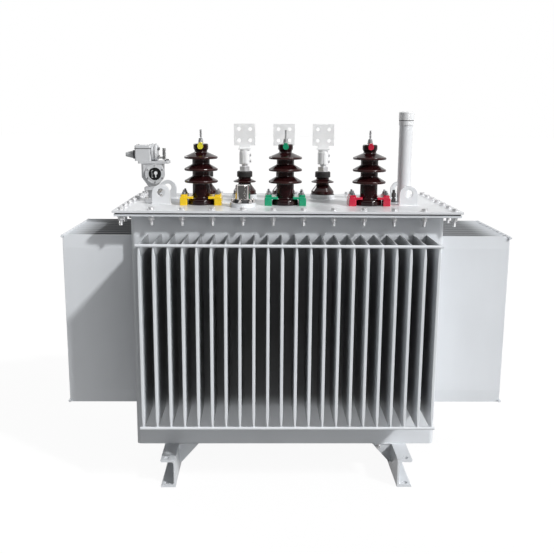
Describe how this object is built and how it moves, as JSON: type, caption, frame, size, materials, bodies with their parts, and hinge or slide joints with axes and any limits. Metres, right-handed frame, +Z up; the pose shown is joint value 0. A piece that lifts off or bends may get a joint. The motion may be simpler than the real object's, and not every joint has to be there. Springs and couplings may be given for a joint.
{
  "type": "power transformer",
  "caption": "Oil-filled power transformer with corrugated cooling walls on a channel base, with high and low voltage bushings, relay, filler tube and lifting lugs on its cover.",
  "frame": {"origin": "on the floor under the middle of the tank, which is the middle of the bounding box's underside", "axes": "+X to the right along the long front, +Y from the front to the back, +Z up; the high voltage bushings are on the front half"},
  "size_m": [1.55, 0.92, 1.266],
  "materials": {
    "tank_paint": "semi-gloss",
    "cover_paint": "semi-gloss",
    "filler_white": "semi-gloss",
    "seal": "matt",
    "porcelain": "gloss",
    "stud_metal": "satin",
    "palm_metal": "satin",
    "phase_yellow": "gloss",
    "phase_green": "gloss",
    "phase_red": "gloss",
    "plated": "polished",
    "relay_cast": "satin",
    "sight": "gloss",
    "dark_fitting": "satin",
    "small_steel": "satin"
  },
  "bodies": {
    "root": {"tank_floor": "tank_paint", "wall_front": "tank_paint", "wall_rear": "tank_paint", "wall_left": "tank_paint", "wall_right": "tank_paint", "fins_front": "tank_paint", "fins_rear": "tank_paint", "fins_left": "tank_paint", "fins_right": "tank_paint", "fin_rods": "tank_paint", "rim_flange": "tank_paint", "cover_gasket": "seal", "cover_plate": "cover_paint", "base_channels": "tank_paint", "channel_gussets": "tank_paint", "lifting_lugs": "cover_paint", "hv_porcelain": "porcelain", "hv_studs": "stud_metal", "clamps_yellow": "phase_yellow", "clamps_green": "phase_green", "clamps_red": "phase_red", "disc_yellow": "phase_yellow", "disc_green": "phase_green", "disc_red": "phase_red", "lv_flanges": "cover_paint", "lv_porcelain": "porcelain", "lv_caps": "porcelain", "lv_studs": "stud_metal", "lv_palms": "palm_metal", "tap_base": "cover_paint", "tap_ring": "seal", "tap_barrel": "plated", "filler_tube": "cover_paint", "filler_collar": "filler_white", "filler_cap": "filler_white", "cover_plug": "small_steel", "relay_neck": "relay_cast", "relay_body": "relay_cast", "relay_glass": "sight", "relay_plate": "relay_cast", "relay_box": "relay_cast", "relay_lid": "relay_cast", "relay_end_flange": "relay_cast", "cable_gland": "dark_fitting", "test_cock": "small_steel"}
  },
  "joints": []
}
